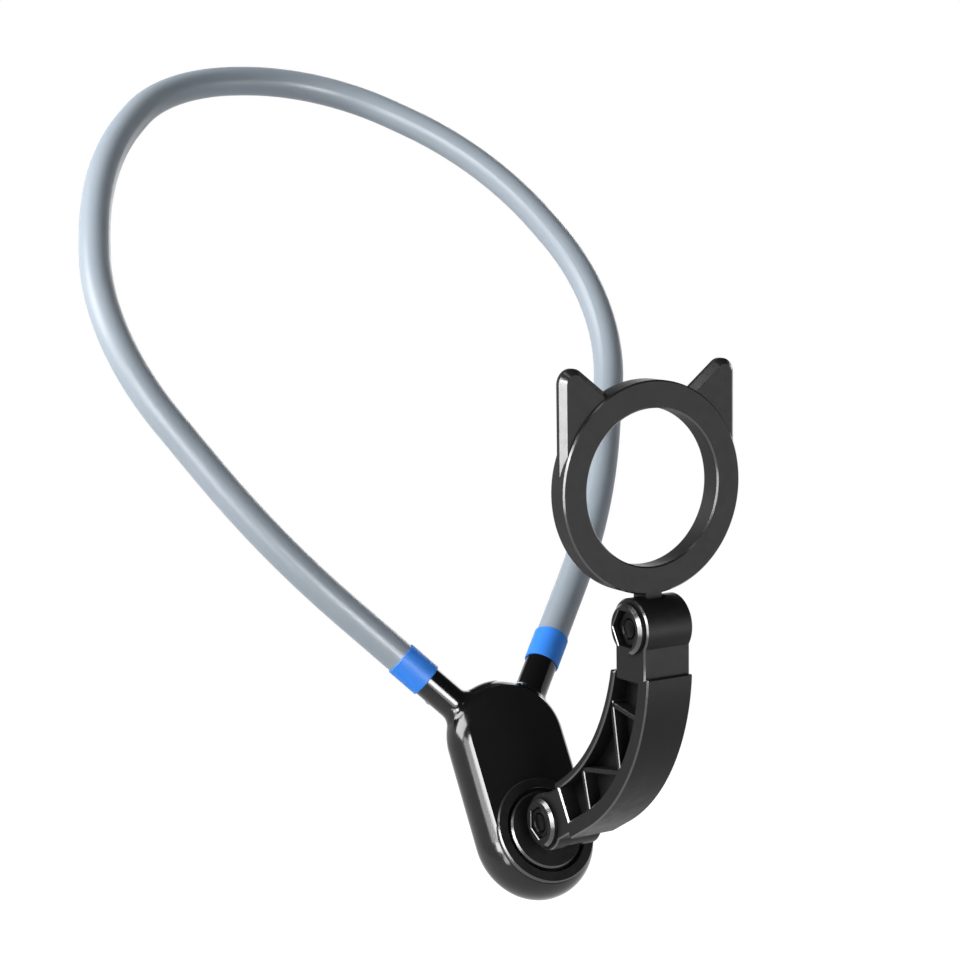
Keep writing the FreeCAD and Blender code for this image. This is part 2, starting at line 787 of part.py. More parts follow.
def nut_floor(name):
    return f"{BOSS_FACE} + {name}_nut_sink + nut_high"


def hinge_cuts(name, opening):
    cavity = cylinder(f"{name}_cavity", "lug_radius + slot_play", SLOT, (f"-({SLOT}) / 2", "0", "0"),
                      axis="x")
    bolt_hole = cylinder(f"{name}_bolt_hole", "bolt_dia / 2 + run_gap", "2 * arm_width",
                         ("-arm_width", "0", "0"), axis="x")
    head_well = cylinder(f"{name}_head_well", "bolt_head_dia / 2 + screw_play", "arm_width",
                         (HEAD_FLOOR, "0", "0"), axis="x")
    nut_well = hexagon(f"{name}_nut_well", f"{name}_nut_flats + 2 * nut_play", "arm_width",
                       (f"{nut_floor(name)} - arm_width", "0", "0"), size(f"{name}_nut_turn"))
    return fuse(f"{name}_cuts", cavity, opening, bolt_hole, head_well, nut_well)


def nut_boss(name, place):
    """A round boss on the arm's left side, with a bevelled rim."""
    rim = cone(f"{name}_rim", "nut_boss_radius - nut_boss_bevel", "nut_boss_radius", "nut_boss_bevel",
               (BOSS_FACE, "0", "0"), axis="x")
    wall = cylinder(f"{name}_wall", "nut_boss_radius", "nut_boss_rise - nut_boss_bevel + arm_width / 4",
                    (f"{BOSS_FACE} + nut_boss_bevel", "0", "0"), axis="x")
    held = group(name, [fuse(f"{name}_solid", rim, wall)])
    held.Placement = place
    return held


arm_top = Placement(Vector(0, *leg_point(size("arm_rise"), 0)), Rotation(Vector(1, 0, 0), -size("arm_bend")))
lower_opening = box("lower_opening", SLOT, "4 * barrel_dia", "2 * barrel_dia",
                    (f"-({SLOT}) / 2", "-2 * barrel_dia", "slot_shoulder - 2 * barrel_dia"))
upper_opening = box("upper_opening", SLOT, "slot_front + barrel_dia", "slot_floor + barrel_dia",
                    (f"-({SLOT}) / 2", "-slot_front", "-slot_floor"))
lower_cuts = hinge_cuts("lower", lower_opening)
upper_cuts = hinge_cuts("upper", upper_opening)
upper_cuts.Placement = arm_top
arm_block = fuse("arm_block", beam, nut_boss("lower_boss", Placement()), nut_boss("upper_boss", arm_top))
node(cut("arm_solid", arm_block, lower_cuts, upper_cuts), "arm", lower_hinge)

# Hinge hardware: a bolt from the right, a nut in its pocket, and a washer on each side of the tongue
WASHER_PLACES = {
    "left": "-lug_thick / 2 - run_gap - washer_thick",
    "right": "lug_thick / 2 + run_gap",
}
BOLT_HOLE = "bolt_dia / 2 + core_play"
for label, place in {"lower": lower_hinge, "upper": upper_hinge}.items():
    nut_face = f"{BOSS_FACE} + {label}_nut_sink"
    bolt_block = fuse(
        f"{label}_bolt_block",
        cylinder(f"{label}_shank", "bolt_dia / 2", f"{HEAD_FLOOR} - ({nut_face})", (nut_face, "0", "0"),
                 axis="x"),
        cylinder(f"{label}_head", "bolt_head_dia / 2", "bolt_head_high", (HEAD_FLOOR, "0", "0"), axis="x"),
    )
    socket = hexagon(f"{label}_socket", "bolt_socket", "arm_width",
                     (f"{HEAD_FLOOR} + bolt_head_high - socket_deep", "0", "0"))
    node(cut(f"{label}_bolt_solid", bolt_block, socket), f"{label}_bolt", place)
    nut_block = hexagon(f"{label}_nut_block", f"{label}_nut_flats", "nut_high", (nut_face, "0", "0"),
                        size(f"{label}_nut_turn"))
    nut_hole = cylinder(f"{label}_nut_hole", BOLT_HOLE, "2 * arm_width", ("-arm_width", "0", "0"), axis="x")
    node(cut(f"{label}_nut_solid", nut_block, nut_hole), f"{label}_nut", place)
    washers = [
        ring(f"{label}_washer_{end}", "washer_radius", BOLT_HOLE, "washer_thick", (x, "0", "0"), "x")
        for end, x in WASHER_PLACES.items()
    ]
    node(group(f"{label}_washer_pair", washers), f"{label}_washers", place)

# Head shell: a ring with two ears and a tongue at the foot, and a groove behind for the magnets.
# The upper hinge is the origin; sketches face forward, so a plane behind the hinge has a negative offset.
RING_UP = "ring_radius + ring_foot"
RING_HOLE = "ring_radius - ring_band"
GROOVE_OUTER = "ring_radius - rim_wall"
GROOVE_INNER = "ring_radius - ring_band + bore_wall"
ring_up = size("ring_radius") + size("ring_foot")
ring_hole = size("ring_radius") - size("ring_band")
head, head_planes = new_body("head")
ring_centre = (0, ring_up)
ring_sketch = sketch(head, head_planes, "ring_outline", "XZ_Plane",
                     [circle(ring_centre, size("ring_radius"), "ring_radius")], "-shell_back")
pad(head, ring_sketch, "shell_back + head_front")


def ear(side):
    """An ear outside the ring: a sloped inner edge, a round tip and an upright outer edge."""
    slope = math.radians(size("ear_slope"))
    tip_round = size("ear_tip_round")
    outer_x = size("ring_radius") - size("ear_inset")
    tip = (outer_x - tip_round, size("ring_radius") + size("ear_rise"))
    inner_tangent = (tip[0] - tip_round * math.sin(slope), tip[1] + tip_round * math.cos(slope))
    run = inner_tangent[0] - ring_hole / 2
    inner_foot = (ring_hole / 2, inner_tangent[1] - run * math.tan(slope))
    outer_foot = (outer_x, 0)

    def at(point):
        return side * point[0], point[1] + ring_up

    round_angles = (0, 90 + size("ear_slope")) if side > 0 else (90 - size("ear_slope"), 180)
    return [
        line(at(inner_foot), at(inner_tangent)),
        arc(at(tip), tip_round, *round_angles, "ear_tip_round"),
        line(at((outer_x, tip[1])), at(outer_foot)),
        line(at(outer_foot), at(inner_foot)),
    ]


for label, side in SIDES.items():
    ear_sketch = sketch(head, head_planes, f"ear_{label}", "XZ_Plane", ear(side), "ear_back - shell_back")
    pad(head, ear_sketch, "shell_back - ear_back + head_front - ear_step")


def on_ear_front(edge):
    """The front edges of both ears, outside the ring."""
    front = all(abs(point.y + size("head_front") - size("ear_step")) < 1e-4 for point in points_on(edge))
    middle = points_on(edge)[2]
    outside = math.hypot(middle.x, middle.z - ring_up) > size("ring_radius") + 1e-3
    return front and outside


bevel_edges(head, "ear_edges", on_ear_front, "ear_bevel")
lug = [circle((0, 0), size("lug_radius"), "lug_radius")]
pad(head, sketch(head, head_planes, "head_lug", "YZ_Plane", lug), "lug_thick", symmetric=True)
stalk_top = size("ring_foot") + size("rim_wall") / 2
stalk = polygon([
    (-size("head_front"), 0), (size("shell_back"), 0),
    (size("shell_back"), stalk_top), (-size("head_front"), stalk_top),
])
pad(head, sketch(head, head_planes, "head_stalk", "YZ_Plane", stalk), "lug_thick", symmetric=True)
hole_sketch = sketch(head, head_planes, "ring_opening", "XZ_Plane",
                     [circle(ring_centre, ring_hole, RING_HOLE)])
pocket(head, hole_sketch, "4 * shell_back", symmetric=True)
groove_sketch = sketch(head, head_planes, "magnet_groove", "XZ_Plane", [
    circle(ring_centre, size("ring_radius") - size("rim_wall"), GROOVE_OUTER),
    circle(ring_centre, ring_hole + size("bore_wall"), GROOVE_INNER),
], "-shell_back")
pocket(head, groove_sketch, "magnet_cover_thick + magnet_thick + shunt_thick", backward=True)
pin_sketch = sketch(head, head_planes, "head_pin_hole", "YZ_Plane",
                    [circle((0, 0), size("bolt_dia") / 2, "bolt_dia / 2 + run_gap")])
pocket(head, pin_sketch, "2 * lug_thick", symmetric=True)


def on_front(edge):
    """The ring's two front edges."""
    front = all(abs(point.y + size("head_front")) < 1e-4 for point in points_on(edge))
    return front and isinstance(edge.Curve, Part.Circle)


bevel_edges(head, "front_edges", on_front, "ring_bevel")
node(head, "head_shell", upper_hinge)

# Behind the head, from the groove's floor to the phone: steel ring, magnets, cover ring and soft pad
TRAY_IN = f"{GROOVE_INNER} + tray_play"
TRAY_OUT = f"{GROOVE_OUTER} - tray_play"
SHUNT_FRONT = "shell_back - magnet_cover_thick - magnet_thick - shunt_thick"
MAGNET_FRONT = "shell_back - magnet_cover_thick - magnet_thick"


def head_ring(name, outer, inner, thickness, front):
    return ring(name, outer, inner, thickness, ("0", front, RING_UP), axis="y")


node(head_ring("shunt", TRAY_OUT, TRAY_IN, "shunt_thick", SHUNT_FRONT), "shunt_ring", upper_hinge)
magnet_band = head_ring("magnet_band", TRAY_OUT, TRAY_IN, "magnet_thick", MAGNET_FRONT)
gap_cuts = []
for number in range(int(size("magnet_count")) // 2):
    gap = box(f"magnet_gap_{number}", "magnet_gap", "4 * magnet_thick", "4 * ring_radius",
              ("-magnet_gap / 2", f"{MAGNET_FRONT} - magnet_thick", "-2 * ring_radius"))
    turned = group(f"magnet_gap_turned_{number}", [gap])
    angle = 360 * (number + 0.5) / size("magnet_count")
    turned.Placement = Placement(Vector(0, 0, ring_up), Rotation(Vector(0, 1, 0), angle))
    gap_cuts.append(turned)
node(cut("magnet_set", magnet_band, *gap_cuts), "magnets", upper_hinge)
plate = head_ring("plate", TRAY_OUT, TRAY_IN, "magnet_cover_thick", "shell_back - magnet_cover_thick")
node(plate, "magnet_cover", upper_hinge)
soft_ring = head_ring("soft_ring", "ring_radius - pad_margin", f"{RING_HOLE} + pad_margin", "pad_thick",
                      "shell_back")
node(soft_ring, "face_pad", upper_hinge)

doc.recompute()
failed = [obj.Name for obj in doc.Objects if {"Invalid", "Error"} & set(obj.State)]
failed += [obj.Label for obj in nodes if obj.Shape.isNull() or not obj.Shape.isValid()]
if failed:
    raise RuntimeError(f"not built: {failed}")

# The loop's volume is its section times its length
for obj, path, wall in ((nodes[0], sleeve_path, "core_play"), (nodes[1], core_path, None)):
    inner = size("core_dia") / 2 + size(wall) if wall else 0
    outer = size("tube_dia") / 2 if wall else size("core_dia") / 2
    expected = math.pi * (outer ** 2 - inner ** 2) * path.Shape.Length
    print(f"{obj.Label}: volume {obj.Shape.Volume:.1f}, section times length {expected:.1f}")

os.makedirs("parts", exist_ok=True)
for obj in nodes:
    obj.Shape.exportStep(f"parts/{obj.Label}.step")
    print(f"{obj.Label}: {len(obj.Shape.Solids)} solids, {obj.Shape.Volume:.1f} mm3")
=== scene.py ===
import json
import math

import bmesh
import bpy
from mathutils import Matrix, Vector

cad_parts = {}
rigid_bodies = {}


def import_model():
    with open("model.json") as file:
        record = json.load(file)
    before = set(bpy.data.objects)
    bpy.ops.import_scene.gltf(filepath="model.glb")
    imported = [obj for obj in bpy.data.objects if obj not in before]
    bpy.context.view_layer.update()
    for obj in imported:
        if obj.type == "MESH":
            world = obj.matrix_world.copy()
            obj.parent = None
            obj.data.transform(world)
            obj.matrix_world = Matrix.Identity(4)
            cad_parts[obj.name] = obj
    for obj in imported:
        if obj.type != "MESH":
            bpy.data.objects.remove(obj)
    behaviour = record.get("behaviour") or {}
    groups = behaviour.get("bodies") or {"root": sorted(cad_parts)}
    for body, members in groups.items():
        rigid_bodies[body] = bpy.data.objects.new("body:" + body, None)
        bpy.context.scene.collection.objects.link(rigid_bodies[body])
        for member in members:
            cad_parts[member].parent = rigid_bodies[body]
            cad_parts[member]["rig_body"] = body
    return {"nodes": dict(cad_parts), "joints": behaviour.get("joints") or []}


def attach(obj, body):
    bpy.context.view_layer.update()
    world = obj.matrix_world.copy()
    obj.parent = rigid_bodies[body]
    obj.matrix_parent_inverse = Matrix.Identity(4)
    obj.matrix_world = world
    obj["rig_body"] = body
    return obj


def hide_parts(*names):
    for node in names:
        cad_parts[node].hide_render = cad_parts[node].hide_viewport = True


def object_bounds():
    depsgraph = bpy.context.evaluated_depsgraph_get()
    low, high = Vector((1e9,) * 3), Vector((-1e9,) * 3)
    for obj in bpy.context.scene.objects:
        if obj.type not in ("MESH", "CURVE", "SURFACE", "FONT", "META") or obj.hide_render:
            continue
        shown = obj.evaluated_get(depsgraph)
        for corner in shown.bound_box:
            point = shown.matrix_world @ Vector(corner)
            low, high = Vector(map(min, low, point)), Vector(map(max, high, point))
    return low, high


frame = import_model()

cad_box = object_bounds()
nodes = frame["nodes"]

# Neck loop: a soft silicone sleeve, extruded and pulled over an annealed wire that keeps its bend.
# Its skin is satin, with a faint cloud of handling and a very fine grain. The wire's ends sit in the
# pendant's stubs, where a screw pinches each of them.
SLEEVE_SHADES = ((0.31, 0.36, 0.41), (0.34, 0.39, 0.44))
WIRE_SHADES = ((0.72, 0.72, 0.73), (0.62, 0.62, 0.64))
NOISE_LOW = 0.3
NOISE_HIGH = 0.7
CLOUDS_PER_METRE = 60.0
SHEEN_PER_METRE = 400.0
STAIN_PER_METRE = 150.0
POLISH_PER_METRE = 900.0


def new_finish(name):
    """A node material with its tree's nodes, links and surface shader."""
    finish = bpy.data.materials.new(name)
    finish.use_nodes = True
    tree = finish.node_tree
    return finish, tree.nodes, tree.links, tree.nodes["Principled BSDF"]


def object_noise(tree_nodes, links, per_metre, detail=3.0):
    """Noise in the piece's own coordinates, with this many cells per metre."""
    place = tree_nodes.new("ShaderNodeTexCoord")
    noise = tree_nodes.new("ShaderNodeTexNoise")
    noise.inputs["Scale"].default_value = per_metre
    noise.inputs["Detail"].default_value = detail
    links.new(place.outputs["Object"], noise.inputs["Vector"])
    return noise


def vary_colour(tree_nodes, links, shader, noise, colours):
    """Surface colour that drifts between two near shades."""
    blend = tree_nodes.new("ShaderNodeMix")
    blend.data_type = "RGBA"
    blend.inputs["A"].default_value = (*colours[0], 1)
    blend.inputs["B"].default_value = (*colours[1], 1)
    links.new(noise.outputs["Fac"], blend.inputs["Factor"])
    links.new(blend.outputs["Result"], shader.inputs["Base Color"])


def vary_roughness(tree_nodes, links, shader, noise, low, high):
    """Gloss that drifts a little over the surface."""
    spread = tree_nodes.new("ShaderNodeMapRange")
    spread.inputs["From Min"].default_value = NOISE_LOW
    spread.inputs["From Max"].default_value = NOISE_HIGH
    spread.inputs["To Min"].default_value = low
    spread.inputs["To Max"].default_value = high
    links.new(noise.outputs["Fac"], spread.inputs["Value"])
    links.new(spread.outputs["Result"], shader.inputs["Roughness"])


def add_grain(tree_nodes, links, shader, noise, depth):
    """Fine relief of a moulded or rolled surface; depth is in metres."""
    bump = tree_nodes.new("ShaderNodeBump")
    bump.inputs["Distance"].default_value = depth
    links.new(noise.outputs["Fac"], bump.inputs["Height"])
    links.new(bump.outputs["Normal"], shader.inputs["Normal"])


def moulded(name, colours, roughness, grain, depth, specular=0.5, index=1.5):
    """A moulded finish: two near shades, a range of roughness and a fine grain with its depth in metres."""
    finish, tree_nodes, links, shader = new_finish(name)
    shader.inputs["Specular IOR Level"].default_value = specular
    shader.inputs["IOR"].default_value = index
    vary_colour(tree_nodes, links, shader, object_noise(tree_nodes, links, CLOUDS_PER_METRE), colours)
    vary_roughness(tree_nodes, links, shader, object_noise(tree_nodes, links, SHEEN_PER_METRE), *roughness)
    add_grain(tree_nodes, links, shader, object_noise(tree_nodes, links, grain), depth)
    return finish


def metal(name, colours, roughness, grain, depth):
    """A bare, plated or blackened metal with fine marks from how it was made."""
    finish, tree_nodes, links, shader = new_finish(name)
    shader.inputs["Metallic"].default_value = 1.0
    vary_colour(tree_nodes, links, shader, object_noise(tree_nodes, links, STAIN_PER_METRE), colours)
    polish = object_noise(tree_nodes, links, POLISH_PER_METRE, 2.0)
    vary_roughness(tree_nodes, links, shader, polish, *roughness)
    add_grain(tree_nodes, links, shader, object_noise(tree_nodes, links, grain, 2.0), depth)
    return finish


def dress(finish, *names):
    """CAD pieces keep their shape and take this finish."""
    for name in names:
        mesh = nodes[name].data
        mesh.materials.clear()
        mesh.materials.append(finish)


wire = metal("annealed_wire", WIRE_SHADES, roughness=(0.3, 0.45), grain=2500.0, depth=3e-6)
dress(wire, "neck_core")
silicone = moulded(
    "sleeve_silicone", SLEEVE_SHADES, roughness=(0.34, 0.4), grain=6000.0, depth=1.5e-6, specular=0.25)
dress(silicone, "neck_sleeve")

# Ferrules: bright blue plastic rings, moulded and pushed over the joint between sleeve and stub.
# They are a little fatter than the tube, and their edges are broken by a hair.
FERRULE_SHADES = ((0.04, 0.26, 0.93), (0.05, 0.285, 0.98))
FERRULE_EDGE = 0.00015
FLAT_ANGLE = math.radians(0.6)
SHARP_ANGLE = math.radians(60)
CREASE_ANGLE = math.radians(28)
WELD = 1e-6


def copy_of(node):
    """A CAD piece's shape as one closed skin, to be worked on as a new piece."""
    shape = bmesh.new()
    shape.from_mesh(nodes[node].data)
    bmesh.ops.remove_doubles(shape, verts=shape.verts, dist=WELD)
    return shape


def stand_for(shape, piece_name, node, *finishes):
    """Makes the shape a piece on the body of the CAD node that it stands for, with the given finishes, and
    hides that node.
    """
    for face in shape.faces:
        face.smooth = True
    for edge in shape.edges:
        edge.smooth = edge.calc_face_angle(0) < CREASE_ANGLE
    mesh = bpy.data.meshes.new(piece_name)
    shape.to_mesh(mesh)
    shape.free()
    for finish in finishes:
        mesh.materials.append(finish)
    piece = bpy.data.objects.new(piece_name, mesh)
    bpy.context.scene.collection.objects.link(piece)
    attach(piece, nodes[node]["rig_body"])
    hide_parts(node)


def break_edges(shape, width):
    """Gives the shape's sharp outer edges a small bevel, as its mould leaves them."""
    bmesh.ops.dissolve_limit(shape, angle_limit=FLAT_ANGLE, verts=shape.verts, edges=shape.edges)
    bmesh.ops.dissolve_degenerate(shape, edges=shape.edges, dist=width / 2)
    sharp = [edge for edge in shape.edges if edge.calc_face_angle_signed(0) > SHARP_ANGLE]
    bmesh.ops.bevel(
        shape, geom=sharp, offset=width, affect="EDGES", segments=1, profile=0.5, material=-1)
    shape.normal_update()


ferrule_blue = moulded(
    "ferrule_blue", FERRULE_SHADES, roughness=(0.4, 0.48), grain=3000.0, depth=3e-6, specular=0.15)
for side in ("left", "right"):
    shape = copy_of(f"ferrule_{side}")
    break_edges(shape, FERRULE_EDGE)
    stand_for(shape, f"ferrule_ring_{side}", f"ferrule_{side}", ferrule_blue)

# Pendant: a housing and a rear cover in black plastic, polished on the rounded sides and the stubs.
# Its flat front face comes from a spark-eroded part of the mould, so it is deep matte.
GLOSS_SHADES = ((0.004, 0.004, 0.0044), (0.006, 0.006, 0.0065))
GLOSS_INDEX = 1.42
PANEL_SHADES = ((0.0042, 0.0042, 0.0044), (0.0054, 0.0054, 0.0056))
PANEL_DEPTH = 0.00005
PANEL_SLOPE = 0.999
joints = {joint["name"]: joint for joint in frame["joints"]}
swivel_point = Vector(joints["swivel_turn"]["pos_m"])
outward = Vector(joints["swivel_turn"]["axis"])
gloss_black = moulded(
    "gloss_black", GLOSS_SHADES, roughness=(0.12, 0.16), grain=900.0, depth=5e-7, index=GLOSS_INDEX)
panel_black = moulded(
    "panel_black", PANEL_SHADES, roughness=(0.55, 0.65), grain=5000.0, depth=5e-6, specular=0.05)
shape = copy_of("yoke_housing")
for face in shape.faces:
    depth = (swivel_point - face.calc_center_median()).dot(outward)
    if depth < PANEL_DEPTH and face.normal.dot(outward) > PANEL_SLOPE:
        face.material_index = 1
stand_for(shape, "pendant_housing", "yoke_housing", gloss_black, panel_black)
dress(gloss_black, "yoke_cover")

# Pendant screws: blackened steel, cold-headed with a cross recess. Three hold the rear cover, sunk
# flush in it, and one in each stub pinches the wire from behind.
SCREW_SHADES = ((0.005, 0.005, 0.0052), (0.008, 0.008, 0.0083))
CROSS_REACH = 0.55
CROSS_HALF_WIDTH = 0.13
CROSS_DEPTH = 0.3
COVER_HEAD_HIGH = 0.0015
STUB_HEAD_HIGH = 0.0017
TURN_STEPS = 48
HAIR = 1e-5
dark_screw = metal("dark_screw", SCREW_SHADES, roughness=(0.26, 0.38), grain=3000.0, depth=3e-6)


def separate_solids(node):
    """The corner points of each solid in a CAD piece."""
    shape = copy_of(node)
    solids = []
    for seed in shape.verts:
        if seed.tag:
            continue
        seed.tag = True
        waiting = [seed]
        points = []
        while waiting:
            vert = waiting.pop()
            points.append(vert.co.copy())
            for edge in vert.link_edges:
                other = edge.other_vert(vert)
                if not other.tag:
                    other.tag = True
                    waiting.append(other)
        solids.append(points)
    shape.free()
    return solids


def span(points, axis):
    """The lowest and highest place of the points along an axis."""
    along = [point.dot(axis) for point in points]
    return min(along), max(along)


def turned_frame(points, axis):
    """Where a turned piece's head face lies, with the axis pointing out of it, and the turn to it."""
    across = axis.orthogonal().normalized()
    over = axis.cross(across)
    middle = across * sum(span(points, across)) / 2 + over * sum(span(points, over)) / 2
    turn = Matrix((across, over, axis)).transposed().to_4x4()
    return Matrix.Translation(middle + axis * span(points, axis)[1]) @ turn


def radius_at(points, axis, depth):
    """The radius of a turned piece near a depth below its head face."""
    top = span(points, axis)[1]
    across = axis.orthogonal().normalized()
    near = [point for point in points if abs(top - depth - point.dot(axis)) < HAIR]
    low, high = span(near, across)
    return (high - low) / 2


def rod(shape, radius, top, bottom):
    """A round bar along Z between two heights; returns its end faces, top first."""
    made = bmesh.ops.create_cone(
        shape, cap_ends=True, segments=TURN_STEPS, radius1=radius, radius2=radius, depth=top - bottom,
        matrix=Matrix.Translation((0, 0, (top + bottom) / 2)),
    )
    ends = {face for vert in made["verts"] for face in vert.link_faces if len(face.verts) == TURN_STEPS}
    return sorted(ends, key=lambda face: -face.calc_center_median().z)


def round_rim(shape, face, width, segments=4):
    """Rounds the edges of a face."""
    bmesh.ops.bevel(
        shape, geom=list(face.edges), offset=width, affect="EDGES", segments=segments, profile=0.5,
        material=-1)


def highest_face(shape):
    """The shape's top face, and the largest one where several lie at that height."""
    return max(shape.faces, key=lambda face: (round(face.calc_center_median().z, 7), face.calc_area()))


def spoke_angle(vert):
    """The angle at which a corner lies round the axis."""
    return math.atan2(vert.co.y, vert.co.x)


def move_on_spoke(vert, radius, height):
    """Moves a corner along its own spoke to a radius and a height."""
    angle = spoke_angle(vert)
    vert.co = Vector((math.cos(angle) * radius, math.sin(angle) * radius, height))


def press_recess(shape, face, reach, depth):
    """Presses a recess into a flat round face; reach gives its radius at each angle."""
    height = face.calc_center_median().z
    bmesh.ops.inset_region(shape, faces=[face], thickness=HAIR)
    for vert in face.verts:
        move_on_spoke(vert, reach(spoke_angle(vert)), height)
    made = bmesh.ops.extrude_face_region(shape, geom=[face])
    sunk = [item for item in made["geom"] if isinstance(item, bmesh.types.BMVert)]
    bmesh.ops.delete(shape, geom=[face], context="FACES_ONLY")
    bmesh.ops.translate(shape, verts=sunk, vec=(0, 0, -depth))


def cross_reach(radius):
    """The outline of a cross recess in a head of this radius."""
    length = radius * CROSS_REACH
    half_width = radius * CROSS_HALF_WIDTH

    def reach(angle):
        cosine = max(abs(math.cos(angle)), WELD)
        sine = max(abs(math.sin(angle)), WELD)
        return max(min(length / cosine, half_width / sine), min(length / sine, half_width / cosine))

    return reach


def add_screw(shape, points, axis, head_high, rim):
    """A screw with a pan head and a cross recess, where a plain CAD screw is."""
    low, high = span(points, axis)
    head_radius = radius_at(points, axis, 0)
    shank_radius = radius_at(points, axis, high - low)
    screw = bmesh.new()
    head_face = rod(screw, head_radius, 0, -head_high)[0]
    round_rim(screw, head_face, rim)
    press_recess(screw, highest_face(screw), cross_reach(head_radius), head_radius * CROSS_DEPTH)
    tip = rod(screw, shank_radius, HAIR - head_high, low - high)[1]
    round_rim(screw, tip, shank_radius / 3, 2)
    bmesh.ops.recalc_face_normals(screw, faces=screw.faces)
    screw.transform(turned_frame(points, axis))
    made = bpy.data.meshes.new("screw")
    screw.to_mesh(made)
    screw.free()
    shape.from_mesh(made)
    bpy.data.meshes.remove(made)


cover_set = bmesh.new()
for points in separate_solids("cover_screws"):
    add_screw(cover_set, points, -outward, COVER_HEAD_HIGH, COVER_HEAD_HIGH / 3)
stand_for(cover_set, "cover_screw_set", "cover_screws", dark_screw)
for side in ("left", "right"):
    pinch = bmesh.new()
    points = separate_solids(f"stub_screw_{side}")[0]
    add_screw(pinch, points, -outward, STUB_HEAD_HIGH, STUB_HEAD_HIGH / 2)
    stand_for(pinch, f"pinch_screw_{side}", f"stub_screw_{side}", dark_screw)

# Swivel: a fixed collar pressed into the pendant, and a turning disc with the arm's tongue, both in
# satin black plastic. Behind them a friction washer, a wave washer and a screw hold the disc.
SATIN_SHADES = ((0.004, 0.004, 0.0042), (0.006, 0.006, 0.0062))
# Edge finish: glossier than satin black and about three times lighter in colour; the lighter colour is
# painted highlight on bevels.
EDGE_HIGHLIGHT_SHADES = ((0.012, 0.012, 0.0122), (0.016, 0.016, 0.0165))
EDGE_INDEX = 1.7
SWIVEL_EDGE = 0.00012
DISC_HIGH = 0.004
WALL_SLOPE = 0.1
BEVEL_LOW = math.cos(math.radians(60))
BEVEL_HIGH = math.cos(math.radians(30))
SIDEWAYS = Vector((1, 0, 0))
STEEL_SHADES = ((0.58, 0.58, 0.59), (0.5, 0.5, 0.51))
NYLON_SHADES = ((0.66, 0.64, 0.58), (0.72, 0.70, 0.65))
satin_black = moulded(
    "satin_black", SATIN_SHADES, roughness=(0.42, 0.5), grain=3500.0, depth=5e-6, specular=0.13)
edge_black_painted_highlight = moulded(
    "edge_black_painted_highlight", EDGE_HIGHLIGHT_SHADES, roughness=(0.2, 0.26), grain=3500.0, depth=5e-7, index=EDGE_INDEX)


def paint_bevel_highlights(shape, axis, on_tongue=None):
    """Gives bevels that slope to an axis, off the tongue, the second finish: glossier, with a lighter
    colour that is painted highlight.
    """
    for face in shape.faces:
        slope = abs(face.normal.dot(axis))
        stays_satin = on_tongue is not None and on_tongue(face.calc_center_median())
        if BEVEL_LOW < slope < BEVEL_HIGH and not stays_satin:
            face.material_index = 1


def on_disc_tongue(place):
    """True where a place stands above the disc's flat face."""
    return (place - swivel_point).dot(outward) > DISC_HIGH


def paint_outer_wall_highlight(shape):
    """Gives the collar's outer wall the second finish, whose lighter colour is painted highlight."""
    for face in shape.faces:
        away = (face.calc_center_median() - swivel_point).dot(face.normal)
        if away > 0 and abs(face.normal.dot(outward)) < WALL_SLOPE:
            face.material_index = 1


for piece_name, node in {"collar_ring": "swivel_collar", "turning_disc": "swivel_disc"}.items():
    shape = copy_of(node)
    break_edges(shape, SWIVEL_EDGE)
    # The swivel's bevels take the lighter edge finish, a painted highlight.
    paint_bevel_highlights(shape, outward, on_disc_tongue)
    if node == "swivel_collar":
        # The collar's outer wall takes the lighter edge finish too: a painted highlight.
        paint_outer_wall_highlight(shape)
    stand_for(shape, piece_name, node, satin_black, edge_black_painted_highlight)
plain_steel = metal("plain_steel", STEEL_SHADES, roughness=(0.25, 0.38), grain=3000.0, depth=3e-6)
dress(plain_steel, "wave_washer", "retaining_washer", "swivel_screw")
nylon = moulded("nylon", NYLON_SHADES, roughness=(0.35, 0.5), grain=2000.0, depth=4e-6)
dress(nylon, "swivel_washer")

# Arm: one moulding in satin black, a curved beam with a ribbed channel on each side and a barrel at
# each end. Its bevelled edges take a glossier finish whose lighter colour is painted highlight.
ARM_EDGE = 0.0002
shape = copy_of("arm")
break_edges(shape, ARM_EDGE)
# The arm's bevels take the lighter edge finish, a painted highlight.
paint_bevel_highlights(shape, SIDEWAYS)
stand_for(shape, "arm_beam", "arm", satin_black, edge_black_painted_highlight)

# Hinge hardware: a blackened socket-head bolt from the arm's right, a hexagon nut in its pocket on
# the left, and a nylon washer on each side of the tongue.
SOCKET_REACH = 0.00151
SOCKET_DEPTH = 0.0016
BOLT_HEAD_HIGH = 0.00275
BOLT_RIM = 0.0004
NUT_SLOPE = math.tan(math.radians(30))
NUT_CHAMFER = 0.94
HOLE_BREAK = 0.0004


def hexagon_reach(inscribed):
    """The outline of a hexagon with this inscribed radius and a corner on the X axis."""
    sixth = math.pi / 3

    def reach(angle):
        return inscribed / math.cos(angle % sixth - sixth / 2)

    return reach


def bolt(points):
    """A bolt with a round head and a hexagon socket, and a broken edge at its end."""
    low, high = span(points, SIDEWAYS)
    head_radius = radius_at(points, SIDEWAYS, 0)
    shank_radius = radius_at(points, SIDEWAYS, high - low)
    shape = bmesh.new()
    head_face = rod(shape, head_radius, 0, -BOLT_HEAD_HIGH)[0]
    round_rim(shape, head_face, BOLT_RIM, 3)
    press_recess(shape, highest_face(shape), hexagon_reach(SOCKET_REACH), SOCKET_DEPTH)
    tip = rod(shape, shank_radius, HAIR - BOLT_HEAD_HIGH, low - high)[1]
    round_rim(shape, tip, BOLT_RIM, 2)
    bmesh.ops.recalc_face_normals(shape, faces=shape.faces)
    shape.transform(turned_frame(points, SIDEWAYS))
    return shape


